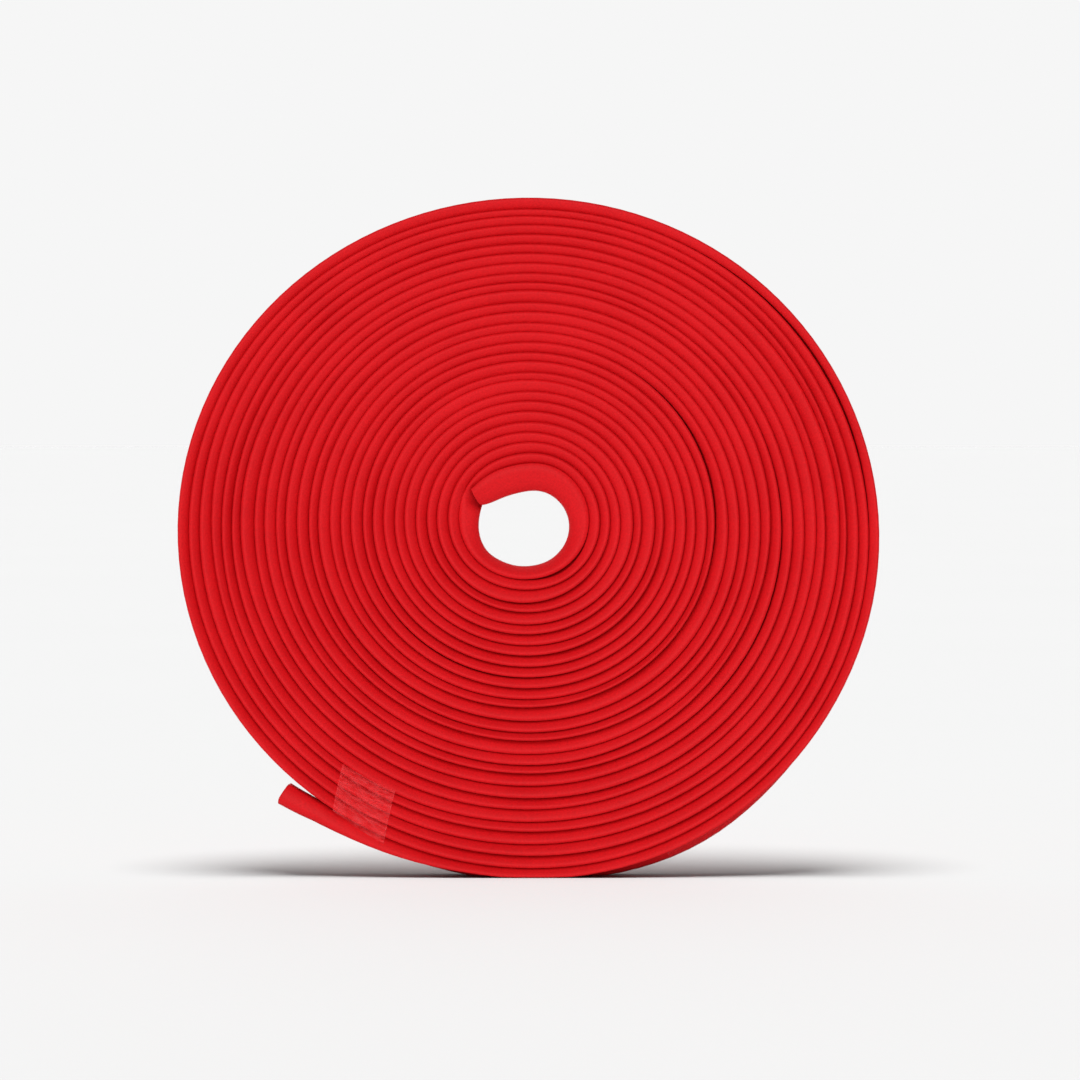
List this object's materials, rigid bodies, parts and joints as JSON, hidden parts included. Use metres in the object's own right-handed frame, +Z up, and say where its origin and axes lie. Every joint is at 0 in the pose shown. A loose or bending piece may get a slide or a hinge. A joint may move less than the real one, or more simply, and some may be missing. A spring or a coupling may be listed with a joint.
{
  "type": "roll of lay-flat tubing",
  "caption": "Roll of soft red lay-flat tubing, wound edge-on into a flat disc that stands on its rim, with loose cut ends held by clear tape.",
  "frame": {"origin": "on the floor under the middle of the roll's overall box", "axes": "+Z up, +Y along the roll's axis towards its back, +X to the right as seen from the front"},
  "size_m": [0.2031, 0.013, 0.1968],
  "materials": {
    "tubing": "matt, fine-grained",
    "tape": "clear, glossy film"
  },
  "bodies": {
    "roll": {"wound_tubing": "tubing", "inner_end": "tubing", "tape_patch": "tape", "tape_strip": "tape"},
    "tail": {"outer_tail": "tubing"}
  },
  "joints": [
    {"name": "tail_bend", "type": "hinge", "parent": "roll", "child": "tail", "pos_m": [-0.0603, 0, 0.0157], "axis": [0, -1, 0], "range_deg": [-2, 30], "stiffness_Nm_per_rad": 0.02}
  ]
}
